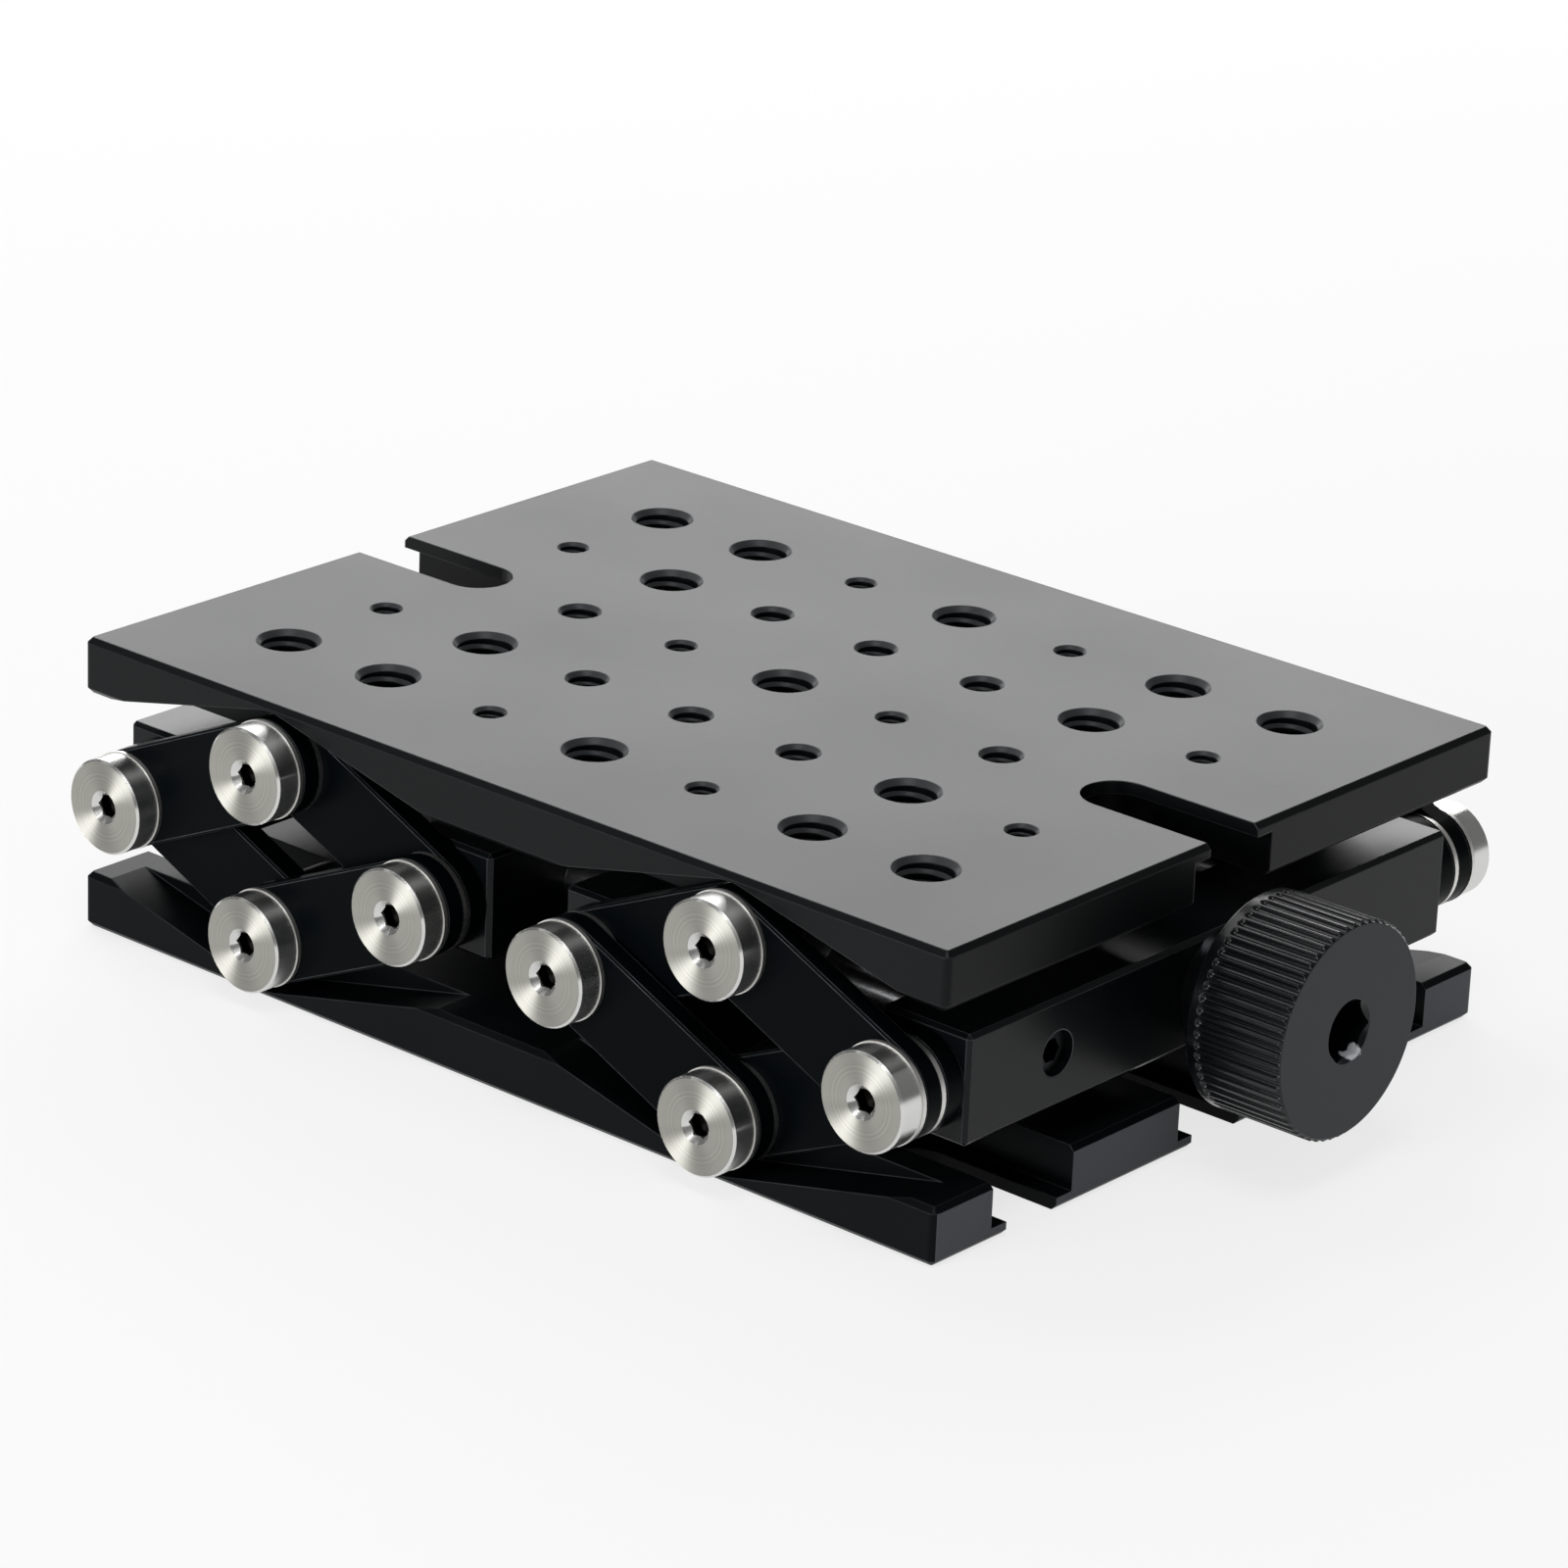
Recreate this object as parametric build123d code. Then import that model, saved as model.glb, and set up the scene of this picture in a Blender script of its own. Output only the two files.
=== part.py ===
"""Scissor lab jack: a low vertical stage with two screw-driven parallelogram linkages.

Millimetres. The origin is the middle of the base's underside, +X runs along the jack
towards the knob, +Y across it and +Z up. The jack stands at REST_RISE of its lift.

Each long side carries two rhombic linkages of flat bars. Their middle pivots are the
ends of four crossbars. Two pairs of crossbars, each pair tied by two rods, form two
carriages that slide through each other: the drive carriage holds the lead screw and
its knob, and the nut carriage holds the nut. Turning the screw draws the pairs of
middle pivots together, which lifts the platform and keeps it level.
"""

from build123d import *
import os
from math import asin, atan2, cos, degrees

# Plates: the platform is the base's blank turned over, with its own holes and slots
PLATE_LENGTH = 101.2
PLATE_WIDTH = 75.6
PLATE_THICK = 5.3
PLATE_CORNER = 0.7
PLATE_EDGE = 0.5

# Slots in the plates' short ends, stepped for a screw head
SLOT_REACH = 12.6  # from the end to the centre of the slot's round
SLOT_NECK = 6.6
SLOT_HEAD = 10.6
SLOT_LIP = 1.2
BASE_SLOT_PITCH = 25.0

# Tapped grid on the platform: drill radius and the countersink at each mouth
GRID = 12.5
M6_DRILL_R, M6_MOUTH = 2.5, 0.5
M4_DRILL_R, M4_MOUTH = 1.65, 0.4
M3_DRILL_R, M3_MOUTH = 1.25, 0.3

# Linkage
PIVOT_HEIGHT = 6.0  # plate pivots, from the plate's outer face
LINK_PITCH = 19.5
INBOARD_ROOM = 7.5  # what links lying flat would leave from an inboard pivot to the middle
REST_RISE = 8.0  # height of a middle pivot over a base pivot as the jack stands
LINK_WIDTH = 9.0
LINK_EDGE = 0.2
INNER_LINK = 2.3
OUTER_LINK = 2.0
WASHER_THICK = 0.5
PLAY = 0.05  # running gap between flat faces, and round pins and screws

# Reliefs milled in the plates' long sides, over the ends of the links
RELIEF_DEPTH = 4.7
RELIEF_RUN = 20.6  # from the pivot to where the relief runs out
RELIEF_CLEAR = 0.8
LUG_THICK = 4.2

# Shoulder screws at the sixteen pivots
SHOULDER_R = 2.5
PIVOT_THREAD_R = 2.0
PIVOT_THREAD = 3.9
HEAD_R = 4.45
HEAD_THICK = 2.5
HEAD_EDGE = 0.2
HEAD_HEX = 2.0
HEAD_HEX_DEPTH = 1.7
HEAD_SINK_R = 1.55
HEAD_SINK = 0.6
HEAD_WASHER_R = 4.55
HEAD_WASHER = 0.4

# Crossbars
BAR_X = 9.6
BAR_Z = 10.0
BAR_EDGE = 0.4

# Tie rods of the two carriages, with the set screws that lock them
ROD_R = 2.0
ROD_INSET = 11.7  # drive rods, from the outer faces of the lugs
SET_SCREW = 3.5
SET_SCREW_SINK = 0.8
SET_SCREW_HEX = 2.0
SET_SCREW_HEX_DEPTH = 1.5
GUIDE_WALL = 1.0

# Lead screw, nut and bearings
SCREW_R = 3.0
END_JOURNAL_R = 2.5
BUSH_WALL = 1.0
NUT_FLANGE_R = 4.7
NUT_FLANGE = 1.5
THRUST_R = 5.0
THRUST_THICK = 0.8
COLLAR_WIDTH = 4.0
CROSS_PIN_R = 0.8
CROSS_PIN_SINK = 0.3

# Knob
KNOB_R = 9.8
KNOB_LENGTH = 10.0
KNOB_GAP = 4.2  # from the crossbar to the back of the fluted part
KNOB_HUB_R = 5.0
KNOB_EDGE = 0.3
KNOB_HEX = 5.0
KNOB_HEX_DEPTH = 5.5
KNOB_SINK = 0.4
KNOB_FLOOR = 1.0  # metal between the hexagon socket and the end of the screw
GROOVES = 58
GROOVE_R = 0.45
GROOVE_DEPTH = 0.3
GROOVE_STOP = 1.1  # plain band behind the grooves

# Places that follow from the sizes above
CORE_Y = PLATE_WIDTH / 2 - RELIEF_DEPTH  # outer faces of the lugs and crossbar ends
STACK = INNER_LINK + WASHER_THICK + OUTER_LINK + 2 * PLAY
PIVOT_X = INBOARD_ROOM + LINK_PITCH
SPREAD = LINK_PITCH * cos(asin(REST_RISE / LINK_PITCH))
BASE_Z = PIVOT_HEIGHT
MIDDLE_Z = PIVOT_HEIGHT + REST_RISE
TOP_Z = PIVOT_HEIGHT + 2 * REST_RISE
TOTAL_HEIGHT = TOP_Z + PIVOT_HEIGHT
OUTBOARD_X = PIVOT_X + SPREAD
INBOARD_X = PIVOT_X - SPREAD
ROD_BORE_R = ROD_R + PLAY
GUIDE_R = ROD_BORE_R + GUIDE_WALL
BUSH_R = SCREW_R + PLAY + BUSH_WALL
DRIVE_ROD_Y = CORE_Y - ROD_INSET
NUT_ROD_Y = (NUT_FLANGE_R + DRIVE_ROD_Y - GUIDE_R) / 2  # midway between flange and guide bush
ROD_REACH = BAR_X / 2 - SET_SCREW_SINK - SET_SCREW  # a rod's end past its crossbar's middle
THRUST_FACE = BAR_X / 2 + THRUST_THICK + 2 * PLAY  # from the drive crossbar's middle
HUB_LENGTH = KNOB_GAP + BAR_X / 2 - THRUST_FACE
COLLAR_X = OUTBOARD_X - THRUST_FACE - COLLAR_WIDTH / 2
HUB_X = OUTBOARD_X + THRUST_FACE + HUB_LENGTH / 2
CROSS_PIN_BORE_R = CROSS_PIN_R + PLAY / 2
UP = (Align.CENTER, Align.CENTER, Align.MIN)


def turned(*outline):
    """Solid of revolution about local Z from (radius, height) corners."""
    corners = [(radius, 0, height) for radius, height in outline]
    return revolve(make_face(Polyline(*corners, close=True)), Axis.Z)


def tube(outer, inner, length):
    return Cylinder(outer, length, align=UP) - Cylinder(inner, length, align=UP)


def hexagon(across_flats, depth):
    """Hexagonal cutter that runs down from local Z = 0."""
    return extrude(RegularPolygon(across_flats / 2, 6, major_radius=False), -depth)


def facing_side(x, z, depth):
    """Frame whose Z points out of the near long side, `depth` from the jack's middle."""
    return Plane(origin=(x, -depth, z), x_dir=(1, 0, 0), z_dir=(0, -1, 0))


def facing_end(x, y, direction=1):
    """Frame at the crossbars' mid-height whose Z points along +X or -X."""
    return Plane(origin=(x, y, MIDDLE_Z), x_dir=(0, 1, 0), z_dir=(direction, 0, 0))


def both_sides(*near):
    """Solids of the near side with their mirror images on the far side."""
    return [*near, *(solid.mirror(Plane.XZ) for solid in near)]


def save(name, *pieces):
    solids = [solid for piece in pieces for solid in piece.solids()]
    export_step(solids[0] if len(solids) == 1 else Compound(solids), f"parts/{name}.step")


# ---------------------------------------------------------------- plates


def relief_cutter(x):
    """Shallow V with a round bottom, tangent to the circle that the link ends sweep."""
    sweep = Pos(x, PIVOT_HEIGHT) * Circle(LINK_WIDTH / 2 + RELIEF_CLEAR)
    left = Line((x - RELIEF_RUN, PLATE_THICK), (x, PLATE_THICK))
    right = Line((x, PLATE_THICK), (x + RELIEF_RUN, PLATE_THICK))
    profile = make_hull([*sweep.edges(), left, right])
    return extrude(facing_side(0, 0, CORE_Y) * profile, RELIEF_DEPTH + 1)


def lug(x):
    """Ear that rises from the plate behind the links and takes the shoulder screw."""
    foot = PLATE_THICK / 2
    ear = Pos(x, PIVOT_HEIGHT) * Circle(LINK_WIDTH / 2)
    ear += Pos(x, (PIVOT_HEIGHT + foot) / 2) * Rectangle(LINK_WIDTH, PIVOT_HEIGHT - foot)
    return extrude(facing_side(0, 0, CORE_Y - LUG_THICK) * ear, LUG_THICK)


def slot_cutter(end, y):
    """Slot open at one short end: a neck right through and a pocket for a screw's head."""

    def level(width, bottom, depth):
        outline = Circle(width / 2) + Pos(end * SLOT_REACH, 0) * Rectangle(2 * SLOT_REACH, width)
        return Pos(end * (PLATE_LENGTH / 2 - SLOT_REACH), y, bottom) * extrude(outline, depth)

    return level(SLOT_NECK, -1, PLATE_THICK + 2) + level(SLOT_HEAD, SLOT_LIP, PLATE_THICK)


def plate_blank(slot_rows):
    """Plate lying on its outer face, with its slots, lugs and reliefs."""
    plate = extrude(RectangleRounded(PLATE_LENGTH, PLATE_WIDTH, PLATE_CORNER), PLATE_THICK)
    rims = plate.faces().sort_by(Axis.Z)
    plate = chamfer(rims[0].edges() + rims[-1].edges(), PLATE_EDGE)
    plate -= [slot_cutter(end, y) for end in (-1, 1) for y in slot_rows]
    for x in (-PIVOT_X, PIVOT_X):
        plate += both_sides(lug(x))
        plate -= both_sides(relief_cutter(x))
        tapped = Cylinder(PIVOT_THREAD_R + PLAY, LUG_THICK, align=UP)
        plate -= both_sides(facing_side(x, PIVOT_HEIGHT, CORE_Y - LUG_THICK) * tapped)
    return plate


def base_plate():
    return plate_blank((-BASE_SLOT_PITCH, 0, BASE_SLOT_PITCH))


def tapped_hole(drill_r, mouth):
    """Cutter for a hole right through the plate, countersunk at the outer face."""
    rim, far = drill_r + mouth, PLATE_THICK + 1
    return turned((0, -1), (rim, -1), (rim, 0), (drill_r, mouth), (drill_r, far), (0, far))


def grid_places(*steps):
    """Places on the platform's grid, mirrored into all four quarters without repeats."""
    return sorted({(i * a * GRID, j * b * GRID) for a, b in steps for i in (-1, 1) for j in (-1, 1)})


def platform():
    plate = plate_blank((0,))
    for drill_r, mouth, steps in (
        (M6_DRILL_R, M6_MOUTH, [(3, 2), (2, 2), (0, 2), (2, 1), (0, 0)]),
        (M4_DRILL_R, M4_MOUTH, [(1, 1), (0, 1), (2, 0)]),
        (M3_DRILL_R, M3_MOUTH, [(1, 2), (3, 1), (1, 0)]),
    ):
        hole = tapped_hole(drill_r, mouth)
        plate -= [Pos(x, y) * hole for x, y in grid_places(*steps)]
    return Pos(0, 0, TOTAL_HEIGHT) * plate.mirror(Plane.XY)


# ---------------------------------------------------------------- linkage


def link(start, finish, inner_layer):
    """Flat bar between two pivots on the near side, given as (x, z)."""
    (x1, z1), (x2, z2) = start, finish
    turn = Rot(0, 0, degrees(atan2(z2 - z1, x2 - x1)))
    bar = SlotCenterToCenter(LINK_PITCH, LINK_WIDTH)
    bar -= [Pos(end * LINK_PITCH / 2, 0) * Circle(SHOULDER_R + PLAY) for end in (-1, 1)]
    bar = extrude(bar, INNER_LINK if inner_layer else OUTER_LINK)
    bar = chamfer(bar.faces().sort_by(Axis.Z)[-1].outer_wire().edges(), LINK_EDGE)
    depth = CORE_Y + (PLAY if inner_layer else INNER_LINK + WASHER_THICK + 1.5 * PLAY)
    return facing_side((x1 + x2) / 2, (z1 + z2) / 2, depth) * turn * bar


def pivot_washer(x, z):
    ring = tube(LINK_WIDTH / 2, SHOULDER_R + PLAY, WASHER_THICK)
    return facing_side(x, z, CORE_Y + INNER_LINK + 1.5 * PLAY) * ring


def head_washer(x, z):
    ring = tube(HEAD_WASHER_R, SHOULDER_R + PLAY, HEAD_WASHER)
    return facing_side(x, z, CORE_Y + STACK) * ring


def shoulder_screw(x, z):
    """Pivot of one joint: thread in the lug or crossbar, shoulder through both links."""
    seat = STACK + HEAD_WASHER
    top = seat + HEAD_THICK
    screw = turned(
        (0, -PIVOT_THREAD), (PIVOT_THREAD_R, -PIVOT_THREAD), (PIVOT_THREAD_R, 0),
        (SHOULDER_R, 0), (SHOULDER_R, seat), (HEAD_R, seat), (HEAD_R, top - HEAD_EDGE),
        (HEAD_R - HEAD_EDGE, top), (HEAD_SINK_R, top), (HEAD_HEX / 2, top - HEAD_SINK),
        (0, top - HEAD_SINK),
    )
    screw -= Pos(0, 0, top) * hexagon(HEAD_HEX, HEAD_HEX_DEPTH)
    return facing_side(x, z, CORE_Y) * screw


def pivots(kind, places):
    """Washers or screws of one body: a near and a far one at each (x, z) place."""
    return [piece for x, z in places for piece in both_sides(kind(x, z))]


# ---------------------------------------------------------------- carriages


def crossbar(x, bores, blind_bores=()):
    """Bar across the jack at mid-height, tapped at both ends for the shoulder screws.

    Bores run right through it at each (radius, y). A blind bore opens towards the
    jack's middle and stops where a rod does.
    """
    bar = Box(BAR_X, 2 * CORE_Y, BAR_Z)
    bar = Pos(x, 0, MIDDLE_Z) * chamfer(bar.edges(), BAR_EDGE)
    tapped = Cylinder(PIVOT_THREAD_R + PLAY, LUG_THICK, align=UP)
    bar -= both_sides(facing_side(x, MIDDLE_Z, CORE_Y - LUG_THICK) * tapped)
    bar -= [facing_end(x, y) * Cylinder(radius, 2 * BAR_X) for radius, y in bores]
    start = facing_end(x - BAR_X, 0)
    depth = BAR_X + ROD_REACH
    bar -= [start * Pos(y, 0) * Cylinder(radius, depth, align=UP) for radius, y in blind_bores]
    return bar


def bore_pair(radius, y):
    """Two like bores, one each side of the lead screw."""
    return [(radius, -y), (radius, y)]


def tie_rods(low_x, high_x, rod_y):
    """Pair of rods that tie two crossbars, ending under their set screws."""
    rod = Cylinder(ROD_R, high_x - low_x + 2 * ROD_REACH)
    return [facing_end((low_x + high_x) / 2, side * rod_y) * rod for side in (-1, 1)]


def rod_set_screws(*mouths):
    """Socket set screws in the outer mouths of rod bores, at each (x, y, direction)."""
    screw = Cylinder(ROD_R, SET_SCREW, align=UP)
    screw -= Pos(0, 0, SET_SCREW) * hexagon(SET_SCREW_HEX, SET_SCREW_HEX_DEPTH)
    return [
        facing_end(x + direction * ROD_REACH, y, direction) * screw
        for x, y, direction in mouths
    ]


def guide_bushes(x, rod_y):
    """Sleeves in which the other carriage's rods slide."""
    bush = tube(GUIDE_R, ROD_BORE_R, BAR_X)
    return [facing_end(x - BAR_X / 2, side * rod_y) * bush for side in (-1, 1)]


# ---------------------------------------------------------------- screw drive


def lead_nut():
    """Flanged nut in the nut carriage's inboard crossbar, flange towards the middle."""
    body = tube(BUSH_R, SCREW_R + PLAY, BAR_X)
    flange = tube(NUT_FLANGE_R, SCREW_R + PLAY, NUT_FLANGE)
    return facing_end(INBOARD_X - BAR_X / 2, 0) * (body + Pos(0, 0, -NUT_FLANGE) * flange)


def journal_bush(x, journal_r):
    return facing_end(x - BAR_X / 2, 0) * tube(journal_r + PLAY + BUSH_WALL, journal_r + PLAY, BAR_X)


def thrust_washers():
    """Washers on both faces of the drive crossbar that take the screw's pull and push."""
    ring = tube(THRUST_R, SCREW_R + PLAY, THRUST_THICK)
    gap = BAR_X / 2 + PLAY
    return [
        facing_end(OUTBOARD_X + direction * gap, 0, direction) * ring for direction in (-1, 1)
    ]


def cross_pin_bore(x):
    """Cutter for the bore of a cross pin, from top to bottom."""
    return Pos(x, 0, MIDDLE_Z) * Cylinder(CROSS_PIN_BORE_R, 2 * KNOB_R)


def lead_screw():
    """Screw from its end journal in the far crossbar to its seat inside the knob."""
    shoulder = -INBOARD_X + BAR_X / 2 + PLAY
    journal_end = -INBOARD_X - BAR_X / 2
    seat = OUTBOARD_X + BAR_X / 2 + KNOB_GAP + KNOB_LENGTH - KNOB_HEX_DEPTH - KNOB_FLOOR
    screw = facing_end(shoulder, 0) * Cylinder(SCREW_R, seat - shoulder, align=UP)
    length = shoulder - journal_end
    screw += facing_end(journal_end, 0) * Cylinder(END_JOURNAL_R, length, align=UP)
    return screw - [cross_pin_bore(COLLAR_X), cross_pin_bore(HUB_X)]


def cross_pins():
    """Pins that lock the collar and the knob's hub to the screw."""
    reach = 2 * (THRUST_R - CROSS_PIN_SINK)
    return [Pos(x, 0, MIDDLE_Z) * Cylinder(CROSS_PIN_R, reach) for x in (COLLAR_X, HUB_X)]


def retaining_collar():
    """Collar that keeps the screw from being pulled out of the drive crossbar."""
    ring = tube(THRUST_R, SCREW_R + PLAY, COLLAR_WIDTH)
    return facing_end(COLLAR_X - COLLAR_WIDTH / 2, 0) * ring - cross_pin_bore(COLLAR_X)


def knob():
    """Fluted knob with a hub and a hexagon socket for a key in its face."""
    front = HUB_LENGTH + KNOB_LENGTH
    bore_r = SCREW_R + PLAY
    bore_end = front - KNOB_HEX_DEPTH - KNOB_FLOOR
    body = turned(
        (bore_r, 0), (KNOB_HUB_R, 0), (KNOB_HUB_R, HUB_LENGTH), (KNOB_R - KNOB_EDGE, HUB_LENGTH),
        (KNOB_R, HUB_LENGTH + KNOB_EDGE), (KNOB_R, front - KNOB_EDGE), (KNOB_R - KNOB_EDGE, front),
        (KNOB_HEX / 2 + KNOB_SINK, front), (KNOB_HEX / 2, front - KNOB_SINK),
        (0, front - KNOB_SINK), (0, bore_end), (bore_r, bore_end),
    )
    body -= Pos(0, 0, front) * hexagon(KNOB_HEX, KNOB_HEX_DEPTH)
    run_out = Pos(KNOB_R - GROOVE_DEPTH + GROOVE_R, 0, HUB_LENGTH + GROOVE_STOP + GROOVE_R)
    cutter = run_out * (Sphere(GROOVE_R) + Cylinder(GROOVE_R, KNOB_LENGTH, align=UP))
    body -= [Rot(0, 0, 360 * i / GROOVES) * cutter for i in range(GROOVES)]
    return facing_end(OUTBOARD_X + THRUST_FACE, 0) * body - cross_pin_bore(HUB_X)


# ---------------------------------------------------------------- assembly


def build():
    os.makedirs("parts", exist_ok=True)
    save("base_plate", base_plate())
    save("platform", platform())

    for side, name in ((-1, "left"), (1, "right")):
        inboard = (side * INBOARD_X, MIDDLE_Z)
        outboard = (side * OUTBOARD_X, MIDDLE_Z)
        lower = (side * PIVOT_X, BASE_Z)
        upper = (side * PIVOT_X, TOP_Z)
        for label, ends, inner_layer in (
            ("lower_outboard", (lower, outboard), True),
            ("lower_inboard", (lower, inboard), False),
            ("upper_outboard", (upper, outboard), False),
            ("upper_inboard", (upper, inboard), True),
        ):
            save(f"{label}_links_{name}", *both_sides(link(*ends, inner_layer)))

    for body, places in (
        ("base", [(-PIVOT_X, BASE_Z), (PIVOT_X, BASE_Z)]),
        ("platform", [(-PIVOT_X, TOP_Z), (PIVOT_X, TOP_Z)]),
        ("drive", [(-INBOARD_X, MIDDLE_Z), (OUTBOARD_X, MIDDLE_Z)]),
        ("nut", [(-OUTBOARD_X, MIDDLE_Z), (INBOARD_X, MIDDLE_Z)]),
    ):
        save(f"{body}_pivot_screws", *pivots(shoulder_screw, places))
        save(f"{body}_pivot_washers", *pivots(pivot_washer, places))
        save(f"{body}_head_washers", *pivots(head_washer, places))

    drive_rods = bore_pair(ROD_BORE_R, DRIVE_ROD_Y)
    drive_guides = bore_pair(GUIDE_R, DRIVE_ROD_Y)
    nut_rods = bore_pair(ROD_BORE_R, NUT_ROD_Y)
    nut_guides = bore_pair(GUIDE_R, NUT_ROD_Y)
    end_bush_r = END_JOURNAL_R + PLAY + BUSH_WALL
    save("drive_crossbar", crossbar(OUTBOARD_X, [(BUSH_R, 0), drive_rods[0]], [drive_rods[1]]))
    save("screw_end_crossbar", crossbar(-INBOARD_X, [(end_bush_r, 0), *drive_rods, *nut_guides]))
    save("nut_crossbar", crossbar(INBOARD_X, [(BUSH_R, 0), *nut_rods, *drive_guides]))
    save("far_crossbar", crossbar(-OUTBOARD_X, nut_rods))
    save("drive_tie_rods", *tie_rods(-INBOARD_X, OUTBOARD_X, DRIVE_ROD_Y))
    save("drive_rod_set_screws", *rod_set_screws(
        (-INBOARD_X, -DRIVE_ROD_Y, -1), (-INBOARD_X, DRIVE_ROD_Y, -1), (OUTBOARD_X, -DRIVE_ROD_Y, 1),
    ))
    save("nut_tie_rods", *tie_rods(-OUTBOARD_X, INBOARD_X, NUT_ROD_Y))
    save("nut_rod_set_screws", *rod_set_screws(*(
        (end_x, side * NUT_ROD_Y, direction)
        for end_x, direction in ((-OUTBOARD_X, -1), (INBOARD_X, 1))
        for side in (-1, 1)
    )))
    save("nut_guide_bushes", *guide_bushes(INBOARD_X, DRIVE_ROD_Y))
    save("drive_guide_bushes", *guide_bushes(-INBOARD_X, NUT_ROD_Y))

    save("lead_nut", lead_nut())
    save("drive_bush", journal_bush(OUTBOARD_X, SCREW_R))
    save("screw_end_bush", journal_bush(-INBOARD_X, END_JOURNAL_R))
    save("thrust_washers", *thrust_washers())
    save("retaining_collar", retaining_collar())
    save("cross_pins", *cross_pins())
    save("lead_screw", lead_screw())
    save("knob", knob())


build()
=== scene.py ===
import bpy
from math import cos, pi, radians, sin
from mathutils import Matrix, Vector


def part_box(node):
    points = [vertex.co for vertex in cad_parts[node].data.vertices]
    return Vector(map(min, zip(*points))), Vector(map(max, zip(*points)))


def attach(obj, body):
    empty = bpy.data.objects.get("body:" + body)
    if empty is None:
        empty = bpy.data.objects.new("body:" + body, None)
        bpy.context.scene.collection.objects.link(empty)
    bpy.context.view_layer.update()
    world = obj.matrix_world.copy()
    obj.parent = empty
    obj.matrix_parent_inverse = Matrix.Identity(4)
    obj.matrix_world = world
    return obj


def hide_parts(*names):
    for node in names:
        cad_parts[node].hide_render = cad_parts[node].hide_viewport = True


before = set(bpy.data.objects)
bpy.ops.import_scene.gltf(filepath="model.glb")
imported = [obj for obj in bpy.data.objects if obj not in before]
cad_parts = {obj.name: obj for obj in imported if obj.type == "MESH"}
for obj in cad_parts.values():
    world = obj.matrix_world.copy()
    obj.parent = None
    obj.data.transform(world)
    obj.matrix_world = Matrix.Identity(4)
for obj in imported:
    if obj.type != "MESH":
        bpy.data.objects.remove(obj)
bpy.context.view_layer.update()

# ================================================================ base plate
# A milled aluminium plate, blasted with fine glass beads and dyed black in the anodising
# bath. Three stepped slots in each short end take screws down to the table. Ears stand
# up behind the reliefs in its long sides and hold the lowest pivots.


def colour(code):
    """Linear colour of an sRGB hex code."""
    channels = [int(code[i:i + 2], 16) / 255 for i in (1, 3, 5)]
    return [c / 12.92 if c <= 0.04045 else ((c + 0.055) / 1.055) ** 2.4 for c in channels] + [1]


def add(tree, kind, feeds=(), **settings):
    """A node with its settings; each feed sets a socket, or links another node's output to it."""
    node = tree.nodes.new(kind)
    for setting, value in settings.items():
        setattr(node, setting, value)
    for socket, value in dict(feeds).items():
        if isinstance(value, bpy.types.NodeSocket):
            tree.links.new(value, node.inputs[socket])
        else:
            node.inputs[socket].default_value = value
    return node


def new_material(name):
    """A material with an empty tree, and the row-frame coordinates that its patterns use."""
    material = bpy.data.materials.new(name)
    material.use_nodes = True
    tree = material.node_tree
    tree.nodes.clear()
    return material, tree, add(tree, "ShaderNodeTexCoord").outputs["Object"]


def surface(tree, feeds):
    """Ends the tree in a Principled shader."""
    shader = add(tree, "ShaderNodeBsdfPrincipled", feeds)
    add(tree, "ShaderNodeOutputMaterial", {"Surface": shader.outputs[0]})


# Colour of the pale edge lines, bare aluminium: partly wear, partly a painted highlight
WORN_EDGE_AND_HIGHLIGHT = "#9a9da2"
BROKEN_EDGE_R = 0.00018
DIMPLE_DEPTH = 0.00002
SHARP, BROKEN = 0.995, 0.88  # the pale edge line, of wear and painted highlight, runs from the first cosine of the edge's turn to the second
SQUARE_ON = 0.9  # a face counts as square to an axis when its normal is this near it


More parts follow.
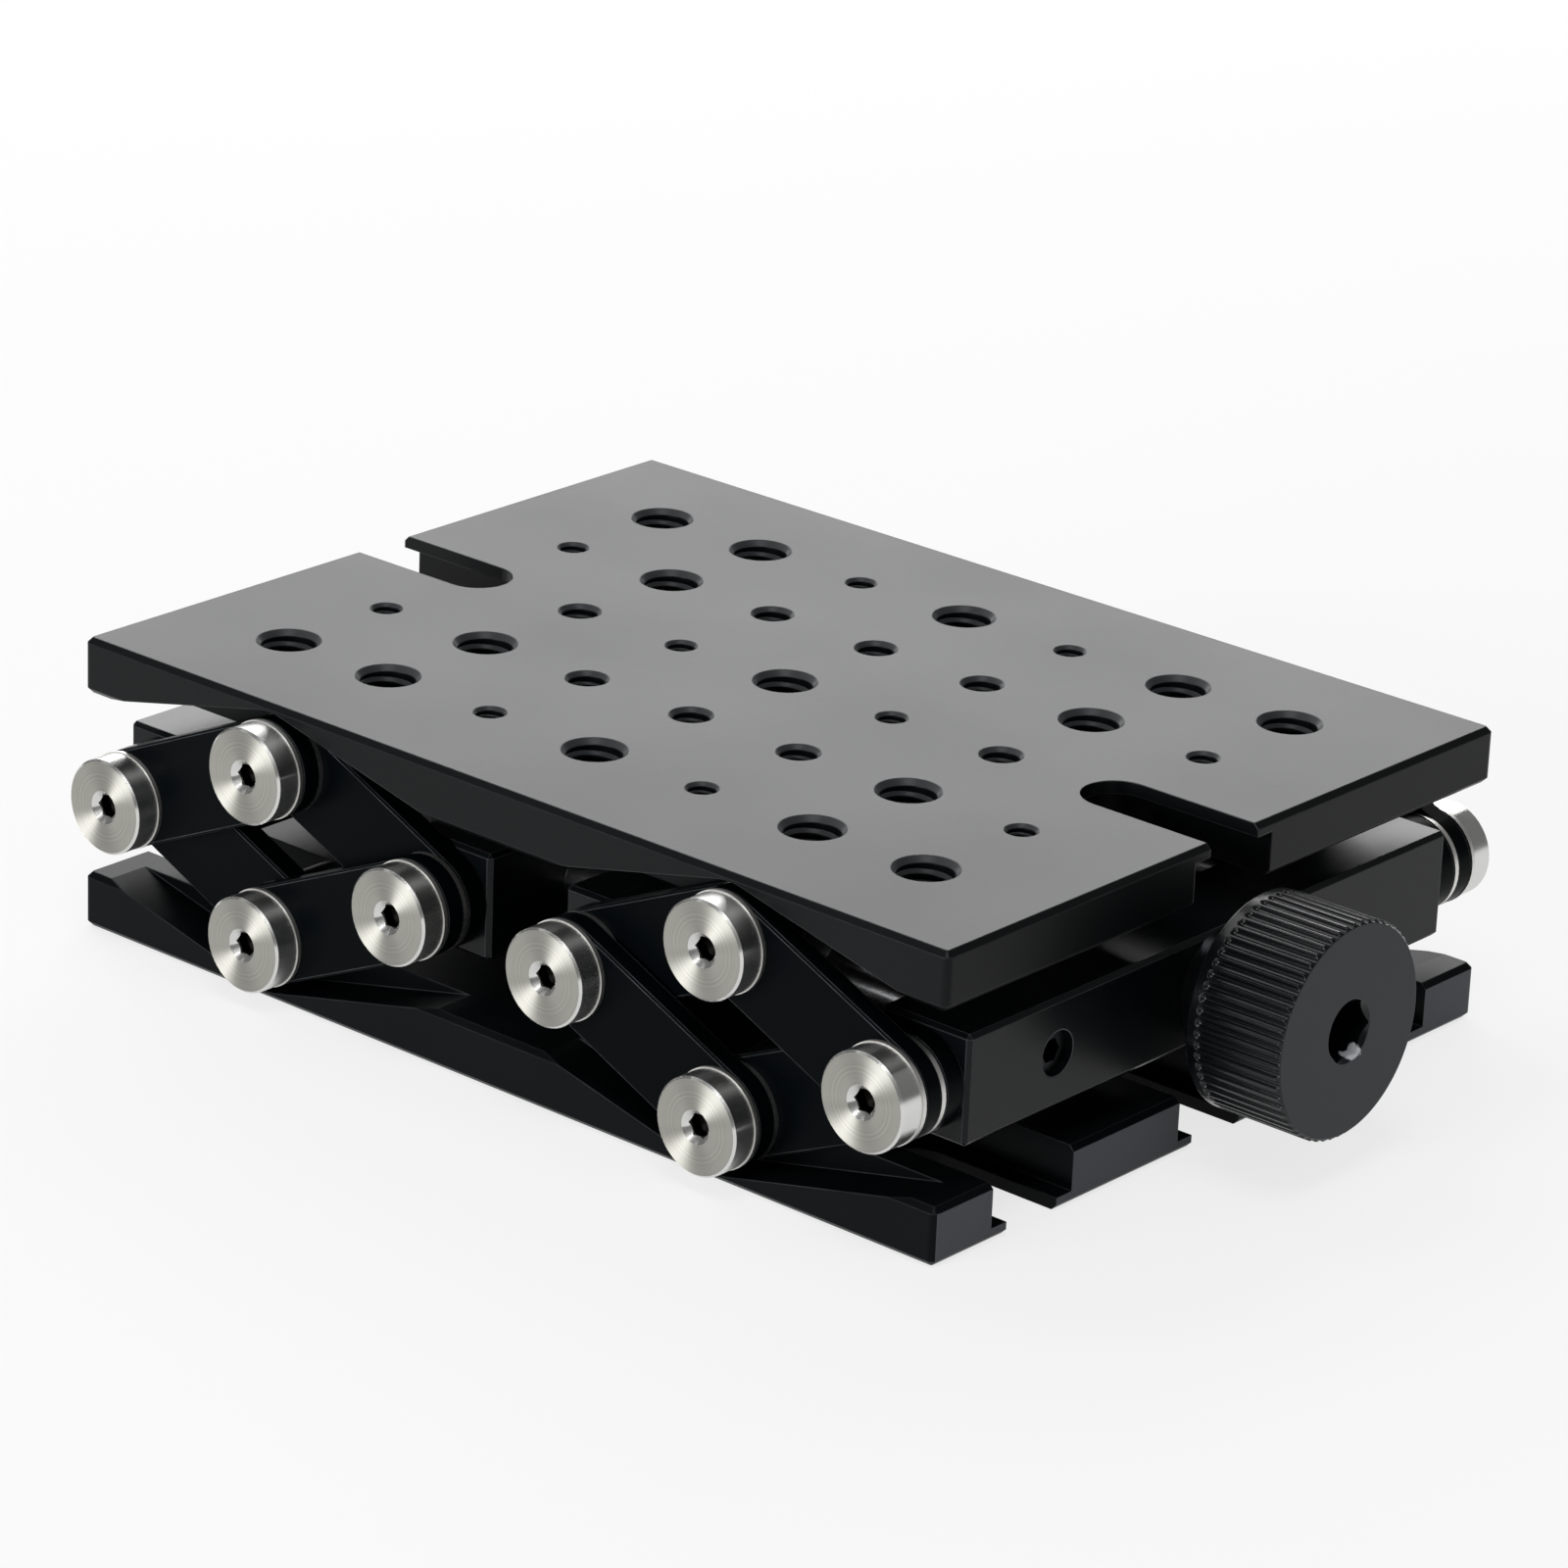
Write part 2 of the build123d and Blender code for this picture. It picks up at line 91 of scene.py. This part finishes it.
def black_anodised_aluminium(name, dark, light, gloss, roughness, grain, edge_wear_and_highlight, ends=None):
    """Dyed oxide over aluminium: deep black face on, with a broad soft grey sheen at a low
    angle, a fine even grain, softly broken edges, and thin pale lines along the edges, partly
    wear and partly a painted highlight.
    Faces cut square to X can have a colour and roughness of their own."""
    material, tree, place = new_material(name)
    # Clouds in the dye are about 22 mm across, and the breaks in the pale edge lines of wear and
    # painted highlight about 4 mm
    clouds, edge_line_noise, dimples = (
        add(
            tree, "ShaderNodeTexNoise", {"Vector": place, "Scale": per_metre, "Detail": detail},
        ).outputs[0]
        for per_metre, detail in ((45.0, 3.0), (260.0, 4.0), (1 / grain, 2.0))
    )
    broken_edge = add(tree, "ShaderNodeBevel", {"Radius": BROKEN_EDGE_R}, samples=8).outputs[0]
    flat = add(tree, "ShaderNodeNewGeometry").outputs["Normal"]
    same = add(tree, "ShaderNodeVectorMath", {0: broken_edge, 1: flat}, operation="DOT_PRODUCT")
    # Pale lines along every edge: partly wear, partly a painted highlight
    wear_and_highlight = add(
        tree, "ShaderNodeMapRange",
        {"Value": same.outputs["Value"], "From Min": SHARP, "From Max": BROKEN},
    ).outputs[0]
    for share in (edge_line_noise, edge_wear_and_highlight):
        wear_and_highlight = add(tree, "ShaderNodeMath", {0: wear_and_highlight, 1: share}, operation="MULTIPLY").outputs[0]
    dyed = add(
        tree, "ShaderNodeMix", {0: clouds, 6: colour(dark), 7: colour(light)}, data_type="RGBA",
    ).outputs[2]
    satin = add(
        tree, "ShaderNodeMapRange",
        {"Value": clouds, "To Min": roughness - 0.04, "To Max": roughness + 0.04},
    ).outputs[0]
    if ends:
        across = add(tree, "ShaderNodeSeparateXYZ", {0: flat}).outputs["X"]
        across = add(tree, "ShaderNodeMath", {0: across}, operation="ABSOLUTE").outputs[0]
        cut = add(
            tree, "ShaderNodeMath", {0: across, 1: SQUARE_ON}, operation="GREATER_THAN",
        ).outputs[0]
        dyed = add(
            tree, "ShaderNodeMix", {0: cut, 6: dyed, 7: colour(ends[0])}, data_type="RGBA",
        ).outputs[2]
        satin = add(tree, "ShaderNodeMix", {0: cut, 2: satin, 3: ends[1]}).outputs[0]
    base = add(
        tree, "ShaderNodeMix", {0: wear_and_highlight, 6: dyed, 7: colour(WORN_EDGE_AND_HIGHLIGHT)}, data_type="RGBA",
    ).outputs[2]
    bump = add(tree, "ShaderNodeBump", {
        "Height": dimples, "Strength": 0.25, "Distance": DIMPLE_DEPTH, "Normal": broken_edge,
    }).outputs[0]
    # The oxide's IOR is about 1.6, but its etched and dyed skin keeps little of that gloss
    surface(tree, {
        "Base Color": base, "Roughness": satin, "Normal": bump,
        "IOR": 1.6, "Specular IOR Level": gloss,
    })
    return material


def dress(material, *nodes):
    """CAD nodes that show as they are, in this material."""
    for name in nodes:
        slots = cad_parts[name].data.materials
        slots.clear()
        slots.append(material)


# Blasting gives a dull even black, and its beads of 0.1 mm leave dimples of that size;
# drawn at 0.3 mm so that they show. The paler grey on the ends, square to X, is a painted sheen.
blasted_black = black_anodised_aluminium(
    "bead_blasted_black_anodised", "#06080a", "#0a0d0f",
    gloss=0.045, roughness=0.34, grain=0.0003, edge_wear_and_highlight=0.2, ends=("#55585c", 0.36),
)
dress(blasted_black, "base_plate")

# ================================================================ platform
# The same blank turned over, with one slot in each short end and a grid of tapped holes,
# M6, M4 and M3, each countersunk at the top. The threads are cut in the plate itself.

GRID = 0.0125
PLATFORM_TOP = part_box("platform")[1].z
PLATE_THICK = 0.0053

# Blasted more lightly than the base, so that it keeps a little more sheen
satin_black = black_anodised_aluminium(
    "satin_black_anodised", "#07090a", "#0b0d0f",
    gloss=0.1, roughness=0.34, grain=0.0003, edge_wear_and_highlight=0.2,
)


def lay_over(material, highlight_mask, code):
    """Another colour painted over the material's own, where the mask is 1; both uses here paint
    highlights.
    """
    tree = material.node_tree
    painted = tree.nodes["Principled BSDF"].inputs["Base Color"]
    base = add(
        tree, "ShaderNodeMix", {0: highlight_mask, 6: painted.links[0].from_socket, 7: colour(code)},
        data_type="RGBA",
    ).outputs[2]
    tree.links.new(base, painted)


# The countersinks are cut through the blasted skin; the grey ring painted on each cone is
# a painted sheen
CONE_UP, CONE_SPAN = 0.7, 0.2  # how far up the normal of a 45-degree cone points
HOLES_HALF_SIZE = (0.0445, 0.0340)  # half sizes of the area that holds every tapped hole
tree = satin_black.node_tree
normal = add(tree, "ShaderNodeNewGeometry").outputs["Normal"]
slope = add(tree, "ShaderNodeSeparateXYZ", {0: normal})
highlight_mask = add(
    tree, "ShaderNodeMath", {0: slope.outputs["Z"], 1: CONE_UP, 2: CONE_SPAN}, operation="COMPARE",
).outputs[0]
at = add(tree, "ShaderNodeSeparateXYZ", {0: tree.nodes["Texture Coordinate"].outputs["Object"]})
for axis, half_size in zip("XY", HOLES_HALF_SIZE):
    out = add(tree, "ShaderNodeMath", {0: at.outputs[axis]}, operation="ABSOLUTE").outputs[0]
    near = add(tree, "ShaderNodeMath", {0: out, 1: half_size}, operation="LESS_THAN").outputs[0]
    highlight_mask = add(tree, "ShaderNodeMath", {0: highlight_mask, 1: near}, operation="MULTIPLY").outputs[0]
lay_over(satin_black, highlight_mask, "#36383a")
dress(satin_black, "platform")


def piece(name, body, slot, material, verts, faces):
    """A new mesh that rides on a body, shaded smooth up to its sharp edges."""
    mesh = bpy.data.meshes.new(name)
    mesh.from_pydata(verts, [], faces)
    mesh.update()
    mesh.polygons.foreach_set("use_smooth", [True] * len(mesh.polygons))
    mesh.set_sharp_from_angle(angle=radians(32))
    mesh.materials.append(material)
    made = bpy.data.objects.new(name, mesh)
    bpy.context.scene.collection.objects.link(made)
    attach(made, body)
    return made


ROOT_HALF, CREST_HALF = 0.44, 0.07  # half widths of a thread's ridge, as shares of its pitch
TURN_STEPS = 28


def thread_ridge(verts, faces, to_place, root_r, crest_r, pitch, length):
    """One closed helical ridge about local Z, from its root to its crest radius, which
    runs out to almost nothing over a quarter turn at both ends."""
    count = round((length / pitch - 1) * TURN_STEPS)
    first = len(verts)
    for k in range(count + 1):
        angle = 2 * pi * k / TURN_STEPS
        middle = pitch * (0.5 + k / TURN_STEPS)
        run_out = min(1, 4 * k / TURN_STEPS + 0.05, 4 * (count - k) / TURN_STEPS + 0.05)
        crest = root_r + (crest_r - root_r) * run_out
        for radius, up in (
            (root_r, -ROOT_HALF), (crest, -CREST_HALF), (crest, CREST_HALF), (root_r, ROOT_HALF),
        ):
            point = Vector((radius * cos(angle), radius * sin(angle), middle + up * pitch))
            verts.append(to_place @ point)
    inward = crest_r < root_r
    for k in range(count):
        for i in range(4):
            a, b = first + 4 * k + i, first + 4 * k + (i + 1) % 4
            quad = (a, b, b + 4, a + 4)
            faces.append(quad if inward else quad[::-1])
    last = first + 4 * count
    for end, forward in ((first, not inward), (last, inward)):
        faces.append([end + i for i in (range(4) if forward else reversed(range(4)))])


def grid_places(*steps):
    """Places on the platform's grid, mirrored into all four quarters without repeats."""
    return sorted({
        (i * a * GRID, j * b * GRID) for a, b in steps for i in (-1, 1) for j in (-1, 1)
    })


# Drill and crest radius, pitch and countersink of the M6, M4 and M3 holes
threads = [], []
for drill_r, crest_r, pitch, mouth, steps in (
    (0.0025, 0.00222, 0.001, 0.0005, [(3, 2), (2, 2), (0, 2), (2, 1), (0, 0)]),
    (0.00165, 0.00145, 0.0007, 0.0004, [(1, 1), (0, 1), (2, 0)]),
    (0.00125, 0.0011, 0.0005, 0.0003, [(1, 2), (3, 1), (1, 0)]),
):
    for x, y in grid_places(*steps):
        foot = Matrix.Translation((x, y, PLATFORM_TOP - PLATE_THICK))
        root_r = drill_r + 0.00003  # just inside the metal, so that no light shows behind
        thread_ridge(*threads, foot, root_r, crest_r, pitch, PLATE_THICK - mouth)
piece("platform_hole_threads", "platform", "black_anodised_aluminium", satin_black, *threads)

# ================================================================ links
# Sixteen flat bars with round ends, milled from aluminium strip, tumbled and anodised.
# They turn on the shoulder screws in two layers.

# Tumbling wears the edges most. The fine pale lines round a flat black bar are partly that
# wear and partly a painted highlight. The grain is under 0.1 mm; drawn at 0.25 mm so that it shows
tumbled_black = black_anodised_aluminium(
    "tumbled_black_anodised", "#030608", "#06090b",
    gloss=0.02, roughness=0.33, grain=0.00025, edge_wear_and_highlight=0.7,
)
for side in ("left", "right"):
    for level in ("lower", "upper"):
        dress(tumbled_black, f"{level}_outboard_links_{side}", f"{level}_inboard_links_{side}")

# ================================================================ pivot washers
# Thin stainless washers punched from strip, between the two layers of links and under the
# screws' heads. Only their rims show, as bright lines.

MARK_DEPTH = 0.00001  # of a tool's or a die's fine marks in the steel


def ground_steel(name, tint, roughness, marks):
    """Steel ground or drawn bright: grey, nearly a mirror, blurred a little by fine marks
    and clouded by stains about 5 mm across."""
    material, tree, place = new_material(name)
    scratches, stains = (
        add(
            tree, "ShaderNodeTexNoise", {"Vector": place, "Scale": per_metre, "Detail": detail},
        ).outputs[0]
        for per_metre, detail in ((1 / marks, 3.0), (180.0, 2.0))
    )
    base = add(
        tree, "ShaderNodeMix", {0: stains, 6: colour(tint[0]), 7: colour(tint[1])},
        data_type="RGBA",
    ).outputs[2]
    blur = add(
        tree, "ShaderNodeMapRange",
        {"Value": scratches, "To Min": roughness - 0.06, "To Max": roughness + 0.08},
    ).outputs[0]
    bump = add(
        tree, "ShaderNodeBump", {"Height": scratches, "Strength": 0.2, "Distance": MARK_DEPTH},
    ).outputs[0]
    surface(tree, {"Base Color": base, "Metallic": 1.0, "Roughness": blur, "Normal": bump})
    return material


# Real marks on the steel are 0.02 to 0.05 mm wide; here and below they are drawn at 0.2
# mm or more so that they show
bright_stainless = ground_steel("punched_stainless_steel", ("#d2d1cd", "#e4e3e0"), 0.42, 0.0002)
for body in ("base", "platform", "drive", "nut"):
    dress(bright_stainless, f"{body}_pivot_washers", f"{body}_head_washers")

# ================================================================ shoulder screws
# Sixteen pivots turned from stainless bar: a wide flat head with a small hexagon socket,
# and a ground shoulder through both links. The lathe leaves fine rings on the head's
# face, which fan the light out in bright and dark sectors, and a near mirror on its side.

PIVOT_X = 0.027  # from the middle of a body's two screws to each of them
HEAD_FACE_Y = 0.0409
SOCKET_R, SOCKET_START = 0.0013, 0.00075  # its inside, painted near black as oil and painted shade, starts this far below the face
RING_PITCH = 0.0002  # the lathe's own is 0.05 mm; drawn coarser so that the rings show


def turned_stainless(name, middle_x, pivot_z):
    """Stainless steel off the lathe: warm grey face with fans of light, polished side, and a
    socket painted near black, partly oil and partly painted shade. The rings run round each
    head's own middle."""
    material, tree, place = new_material(name)
    at = add(tree, "ShaderNodeSeparateXYZ", {0: place})
    offset = add(
        tree, "ShaderNodeMath", {0: at.outputs["X"], 1: middle_x}, operation="SUBTRACT",
    ).outputs[0]
    side = add(tree, "ShaderNodeMath", {0: offset}, operation="SIGN").outputs[0]
    centre = add(tree, "ShaderNodeMath", {0: side, 1: PIVOT_X}, operation="MULTIPLY").outputs[0]
    across = add(tree, "ShaderNodeMath", {0: offset, 1: centre}, operation="SUBTRACT").outputs[0]
    up = add(
        tree, "ShaderNodeMath", {0: at.outputs["Z"], 1: pivot_z}, operation="SUBTRACT",
    ).outputs[0]
    outward = add(tree, "ShaderNodeCombineXYZ", {"X": across, "Z": up}).outputs[0]
    radius = add(tree, "ShaderNodeVectorMath", {0: outward}, operation="LENGTH").outputs["Value"]
    turns = add(
        tree, "ShaderNodeMath", {0: radius, 1: 1 / RING_PITCH}, operation="MULTIPLY",
    ).outputs[0]
    rings = add(
        tree, "ShaderNodeTexNoise", {"W": turns, "Scale": 1.0, "Detail": 2.0},
        noise_dimensions="1D",
    ).outputs[0]
    normal = add(tree, "ShaderNodeNewGeometry").outputs["Normal"]
    facing = add(tree, "ShaderNodeSeparateXYZ", {0: normal}).outputs["Y"]
    facing = add(tree, "ShaderNodeMath", {0: facing}, operation="ABSOLUTE").outputs[0]
    face = add(
        tree, "ShaderNodeMath", {0: facing, 1: SQUARE_ON}, operation="GREATER_THAN",
    ).outputs[0]
    along = add(tree, "ShaderNodeCombineXYZ", {"Y": 1.0}).outputs[0]
    grooves = add(
        tree, "ShaderNodeMix", {0: face, 4: along, 5: outward}, data_type="VECTOR",
    ).outputs[1]
    fan = add(
        tree, "ShaderNodeVectorTransform", {0: grooves},
        vector_type="VECTOR", convert_from="OBJECT", convert_to="WORLD",
    ).outputs[0]
    ringed = add(
        tree, "ShaderNodeMix", {0: rings, 6: colour("#a5a49d"), 7: colour("#c2c1ba")},
        data_type="RGBA",
    ).outputs[2]
    polished = add(
        tree, "ShaderNodeMix", {0: face, 6: colour("#d8d8d6"), 7: ringed}, data_type="RGBA",
    ).outputs[2]
    out = add(tree, "ShaderNodeMath", {0: at.outputs["Y"]}, operation="ABSOLUTE").outputs[0]
    sunk = add(
        tree, "ShaderNodeMath", {0: out, 1: HEAD_FACE_Y - SOCKET_START},
        operation="LESS_THAN",
    ).outputs[0]
    inner = add(tree, "ShaderNodeMath", {0: radius, 1: SOCKET_R}, operation="LESS_THAN").outputs[0]
    painted_socket_shade = add(tree, "ShaderNodeMath", {0: sunk, 1: inner}, operation="MULTIPLY").outputs[0]
    # Painted shade, with oil: the socket's inside is near black
    base = add(
        tree, "ShaderNodeMix", {0: painted_socket_shade, 6: polished, 7: colour("#1b1a19")},
        data_type="RGBA",
    ).outputs[2]
    blur = add(
        tree, "ShaderNodeMapRange", {"Value": face, "To Min": 0.24, "To Max": 0.5},
    ).outputs[0]
    height = add(tree, "ShaderNodeMath", {0: rings, 1: face}, operation="MULTIPLY").outputs[0]
    bump = add(
        tree, "ShaderNodeBump", {"Height": height, "Strength": 0.3, "Distance": MARK_DEPTH},
    ).outputs[0]
    surface(tree, {
        "Base Color": base, "Metallic": 1.0, "Roughness": blur, "Normal": bump,
        "Anisotropic": 0.94, "Tangent": fan,
    })
    return material


CARRIAGE_X = 0.01778  # how far the screws' middle is from the jack's, on the two carriages
for body, middle_x, pivot_z in (
    ("base", 0.0, 0.006), ("platform", 0.0, 0.022),
    ("drive", CARRIAGE_X, 0.014), ("nut", -CARRIAGE_X, 0.014),
):
    dress(turned_stainless(f"turned_stainless_{body}", middle_x, pivot_z), f"{body}_pivot_screws")

# ================================================================ crossbars
# Four bars sawn from square aluminium, milled, edges broken and anodised, with the
# middle pivots screwed into their ends.

# A milled face is smoother than a blasted one, so that it mirrors a soft patch of light
milled_black = black_anodised_aluminium(
    "milled_black_anodised", "#06090b", "#0b0f11",
    gloss=0.14, roughness=0.26, grain=0.00025, edge_wear_and_highlight=0.5,
)
dress(milled_black, "drive_crossbar", "screw_end_crossbar", "nut_crossbar", "far_crossbar")

# ================================================================ tie rods
# Ground steel rods that join the crossbars in pairs, each locked in its bore by a black
# socket set screw, and bronze sleeves in which the other pair's rods slide.

# Bright grey rods, screws of a black with a dull metal gleam, and warm brown sleeves
ground_rod = ground_steel("ground_steel", ("#b5b6b8", "#c6c7c9"), 0.22, 0.00025)
dress(ground_rod, "drive_tie_rods", "nut_tie_rods")
black_screw = ground_steel("black_oxide_steel", ("#1c1d1f", "#3a3c3f"), 0.34, 0.0002)
dress(black_screw, "drive_rod_set_screws", "nut_rod_set_screws")
bronze = ground_steel("bearing_bronze", ("#8a6636", "#a57f48"), 0.36, 0.0003)
dress(bronze, "drive_guide_bushes", "nut_guide_bushes")

# ================================================================ lead screw
# A rolled steel screw with an M6 thread, from its journal in the inner crossbar to its
# seat in the knob, with a bronze nut, bushes and thrust washers, and a pinned collar.

dress(bronze, "lead_nut", "drive_bush", "screw_end_bush")
dress(black_screw, "thrust_washers")
dress(ground_rod, "retaining_collar", "cross_pins")

SCREW_R, SCREW_CORE_R, JOURNAL_R, SCREW_PITCH = 0.003, 0.0025, 0.0025, 0.001
SCREW_CHAMFER, SCREW_STEP = 0.0003, 0.0001
ROUND_STEPS = 40
screw_low, screw_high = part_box("lead_screw")
screw_z = (screw_low.z + screw_high.z) / 2
journal_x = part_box("screw_end_crossbar")[1].x
thread_end_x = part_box("retaining_collar")[0].x
outline = [
    (0, screw_low.x),
    (JOURNAL_R - SCREW_CHAMFER, screw_low.x), (JOURNAL_R, screw_low.x + SCREW_CHAMFER),
    (JOURNAL_R, journal_x), (SCREW_CORE_R, journal_x + SCREW_STEP),
    (SCREW_CORE_R, thread_end_x - 2 * SCREW_CHAMFER), (SCREW_R, thread_end_x - SCREW_STEP),
    (SCREW_R, screw_high.x), (0, screw_high.x),
]
verts, faces = [], []
for radius, x in outline:
    for k in range(ROUND_STEPS if radius else 1):
        angle = 2 * pi * k / ROUND_STEPS
        verts.append((x, radius * cos(angle), screw_z + radius * sin(angle)))
for k in range(ROUND_STEPS):
    n = (k + 1) % ROUND_STEPS
    faces.append((0, 1 + k, 1 + n))
    for row in range(len(outline) - 3):
        a, b = 1 + row * ROUND_STEPS, 1 + (row + 1) * ROUND_STEPS
        faces.append((a + k, b + k, b + n, a + n))
    last = 1 + (len(outline) - 3) * ROUND_STEPS
    faces.append((last + k, len(verts) - 1, last + n))
start = Matrix.Translation((journal_x, 0, screw_z)) @ Matrix.Rotation(pi / 2, 4, "Y")
ridge_root_r = SCREW_CORE_R - 0.00003  # just inside the core
thread_ridge(
    verts, faces, start, ridge_root_r, SCREW_R, SCREW_PITCH, thread_end_x - journal_x,
)
screw = piece("lead_screw_thread", "lead_screw", "bright_steel", ground_rod, verts, faces)
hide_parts("lead_screw")

# ================================================================ knob
# Turned from aluminium bar, fluted with a round cutter that stops short of the back,
# anodised black, with a hexagon socket in its face for a key.

# The cutter leaves the flutes glossy, and facing leaves the end a dull blue black
knob_black = black_anodised_aluminium(
    "turned_black_anodised", "#06080a", "#090c0f",
    gloss=0.25, roughness=0.22, grain=0.00025, edge_wear_and_highlight=0.06, ends=("#0d131d", 0.44),
)
# A ragged patch at one corner of the socket's mouth is painted near white: a painted glint, on
# metal that a key has rubbed bare
KNOB_FACE_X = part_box("knob")[1].x
GLINT_R, GLINT_FADE, GLINT_RAGGED = 0.0013, 0.0002, 0.0012
corner = Vector((KNOB_FACE_X - 0.0005, 0.0011, screw_z - 0.0022))
tree = knob_black.node_tree
place = tree.nodes["Texture Coordinate"].outputs["Object"]
near = add(
    tree, "ShaderNodeVectorMath", {0: place, 1: corner}, operation="DISTANCE",
).outputs["Value"]
glint_noise = add(
    tree, "ShaderNodeTexNoise", {"Vector": place, "Scale": 1400.0, "Detail": 2.0},
).outputs[0]
ragged = add(
    tree, "ShaderNodeMath", {0: glint_noise, 1: GLINT_RAGGED, 2: near}, operation="MULTIPLY_ADD",
).outputs[0]
wear_and_highlight = add(
    tree, "ShaderNodeMapRange",
    {"Value": ragged, "From Min": GLINT_R + GLINT_FADE, "From Max": GLINT_R},
).outputs[0]
lay_over(knob_black, wear_and_highlight, "#d3d6da")
dress(knob_black, "knob")

# ================================================================ studio
# A white table top under plain room light. The soft box overhead lights the countersinks,
# the left one the knob's flutes, the long low one behind gives the platform its grey
# sheen, and the front one fans out on the screw heads.

TABLE_HALF = 4
TABLE_DROP = 0.00005  # below the base, so that the two faces don't fight
floor_mesh = bpy.data.meshes.new("floor")
floor_mesh.from_pydata(
    [(x * TABLE_HALF, y * TABLE_HALF, 0) for x, y in ((-1, -1), (1, -1), (1, 1), (-1, 1))],
    [], [(0, 1, 2, 3)],
)
floor = bpy.data.objects.new("floor", floor_mesh)
floor.location.z = -TABLE_DROP
bpy.context.scene.collection.objects.link(floor)

# Paper that is seen as nearly white by its own glow; the rest of it takes the jack's shadow
GLOW_SHARE = 0.8
paper, tree, _ = new_material("white_paper")
matt = add(tree, "ShaderNodeBsdfDiffuse", {"Color": colour("#f6f6f6")}).outputs[0]
glow = add(tree, "ShaderNodeEmission", {"Color": colour("#fafafa"), "Strength": 1.0}).outputs[0]
rays = add(tree, "ShaderNodeLightPath")
seen = rays.outputs["Is Camera Ray"]
for kind in ("Is Glossy Ray", "Is Transmission Ray"):
    seen = add(
        tree, "ShaderNodeMath", {0: seen, 1: rays.outputs[kind]}, operation="MAXIMUM",
    ).outputs[0]
share = add(tree, "ShaderNodeMath", {0: seen, 1: GLOW_SHARE}, operation="MULTIPLY").outputs[0]
mixed = add(tree, "ShaderNodeMixShader", {0: share, 1: matt, 2: glow}).outputs[0]
add(tree, "ShaderNodeOutputMaterial", {"Surface": mixed})
floor_mesh.materials.append(paper)

room = bpy.data.worlds.new("room")
bpy.context.scene.world = room
room.use_nodes = True
room.node_tree.nodes.clear()
sky = add(
    room.node_tree, "ShaderNodeBackground", {"Color": colour("#ffffff"), "Strength": 0.2},
)
add(room.node_tree, "ShaderNodeOutputWorld", {"Surface": sky.outputs[0]})

JACK_CENTRE = Vector((0, 0, 0.014))


def soft_box(name, place, width, height, brightness):
    """An area lamp turned to the jack; its brightness is that of its face, where 1 is white."""
    lamp = bpy.data.lights.new(name, "AREA")
    lamp.shape = "RECTANGLE"
    lamp.size, lamp.size_y = width, height
    lamp.energy = brightness * pi * width * height
    made = bpy.data.objects.new(name, lamp)
    made.location = place
    made.rotation_euler = (JACK_CENTRE - Vector(place)).to_track_quat("-Z", "Y").to_euler()
    made.visible_camera = False
    bpy.context.scene.collection.objects.link(made)


soft_box("overhead_soft_box", (0.22, -0.26, 0.86), 0.4, 0.4, 5.0)
soft_box("left_soft_box", (-0.51, 0.02, 0.7), 0.45, 0.4, 2.2)
soft_box("back_soft_box", (-0.57, 0.59, 0.42), 1.1, 0.5, 4.2)
soft_box("front_soft_box", (-0.13, -0.86, 0.22), 0.5, 0.3, 11.0)

CAMERA_PLACE = (0.34938, -0.41027, 0.22737)
TURNED, TILTED_DOWN, ROLLED = radians(40.387), radians(21.219), radians(2.372)
camera = bpy.data.objects.new("camera", bpy.data.cameras.new("camera"))
camera.data.lens, camera.data.sensor_width = 147.84, 36
camera.data.clip_start = 0.01
camera.matrix_world = (
    Matrix.Translation(CAMERA_PLACE) @ Matrix.Rotation(TURNED, 4, "Z")
    @ Matrix.Rotation(pi / 2 - TILTED_DOWN, 4, "X") @ Matrix.Rotation(ROLLED, 4, "Z")
)
bpy.context.scene.collection.objects.link(camera)
bpy.context.scene.camera = camera
bpy.context.scene.view_settings.view_transform = "Standard"
